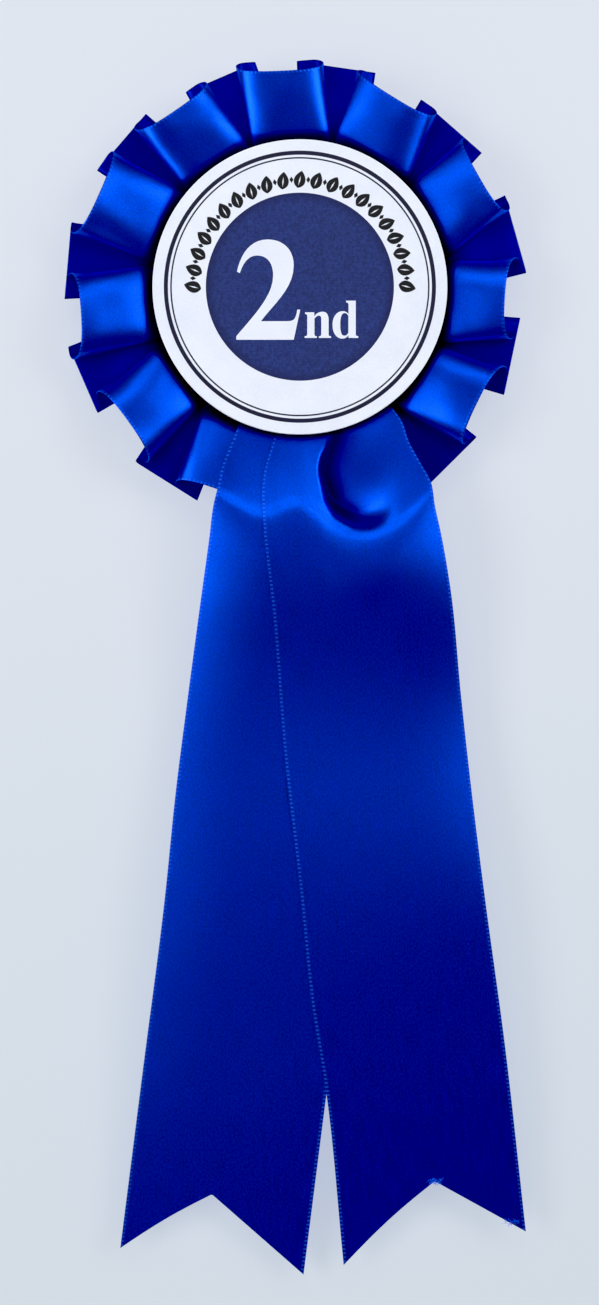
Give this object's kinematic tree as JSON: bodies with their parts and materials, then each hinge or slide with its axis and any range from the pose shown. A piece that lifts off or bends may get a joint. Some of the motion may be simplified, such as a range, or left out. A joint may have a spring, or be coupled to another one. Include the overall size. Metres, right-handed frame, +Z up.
{
  "type": "award ribbon",
  "caption": "Award rosette: round printed centre on a ring of box-pleated satin ribbon, with swallow-tailed ribbon tails in front and a hinged safety bar pin behind.",
  "frame": {"origin": "middle of the bare stem of the bar pin, straight behind the centre of the rosette", "axes": "+Z up, the printed face looks along -Y, +X is the viewer's right, the pin's point is at -X"},
  "size_m": [0.1294, 0.0161, 0.3322],
  "materials": {
    "blue_satin": "polyester satin, warp sheen",
    "blue_thread": "matt thread",
    "printed_face": "smooth print, white with navy rings and field",
    "white_card": "matt card",
    "grey_card": "matt greyboard",
    "white_foam": "soft foam",
    "clear_glue": "dull hot-melt",
    "steel_wire": "bright drawn wire",
    "nickel_plate": "nickel plate"
  },
  "bodies": {
    "rosette": {"centre_print": "printed_face", "centre_card": "white_card", "foam_pads": "white_foam", "pleated_ribbon": "blue_satin", "pleat_stitching": "blue_thread", "staples": "steel_wire", "base_card": "grey_card", "glue_dots": "clear_glue", "back_card": "white_card", "rear_tail_head": "blue_satin", "front_tail_head": "blue_satin", "pin_base": "nickel_plate", "pin_rivets": "nickel_plate", "hinge_rivet": "nickel_plate"},
    "rear_tail": {"rear_tail": "blue_satin", "front_tail_neck": "blue_satin"},
    "front_tail": {"front_tail": "blue_satin"},
    "pin_stem": {"pin_stem": "steel_wire"},
    "catch_sleeve": {"catch_sleeve": "nickel_plate"}
  },
  "joints": [
    {"name": "tails_lift", "type": "hinge", "parent": "rosette", "child": "rear_tail", "pos_m": [0, -0.0136, -0.062], "axis": [-1, 0, 0], "range_deg": [0, 45]},
    {"name": "front_tail_lift", "type": "hinge", "parent": "rear_tail", "child": "front_tail", "pos_m": [0, -0.0031, -0.092], "axis": [-1, 0, 0], "range_deg": [0, 35]},
    {"name": "pin_open", "type": "hinge", "parent": "rosette", "child": "pin_stem", "pos_m": [0.0165, 0, 0], "axis": [0, 0, -1], "range_deg": [0, 60]},
    {"name": "catch_roll", "type": "hinge", "parent": "rosette", "child": "catch_sleeve", "pos_m": [-0.017, 0, 0], "axis": [1, 0, 0], "range_deg": [0, 100]}
  ]
}
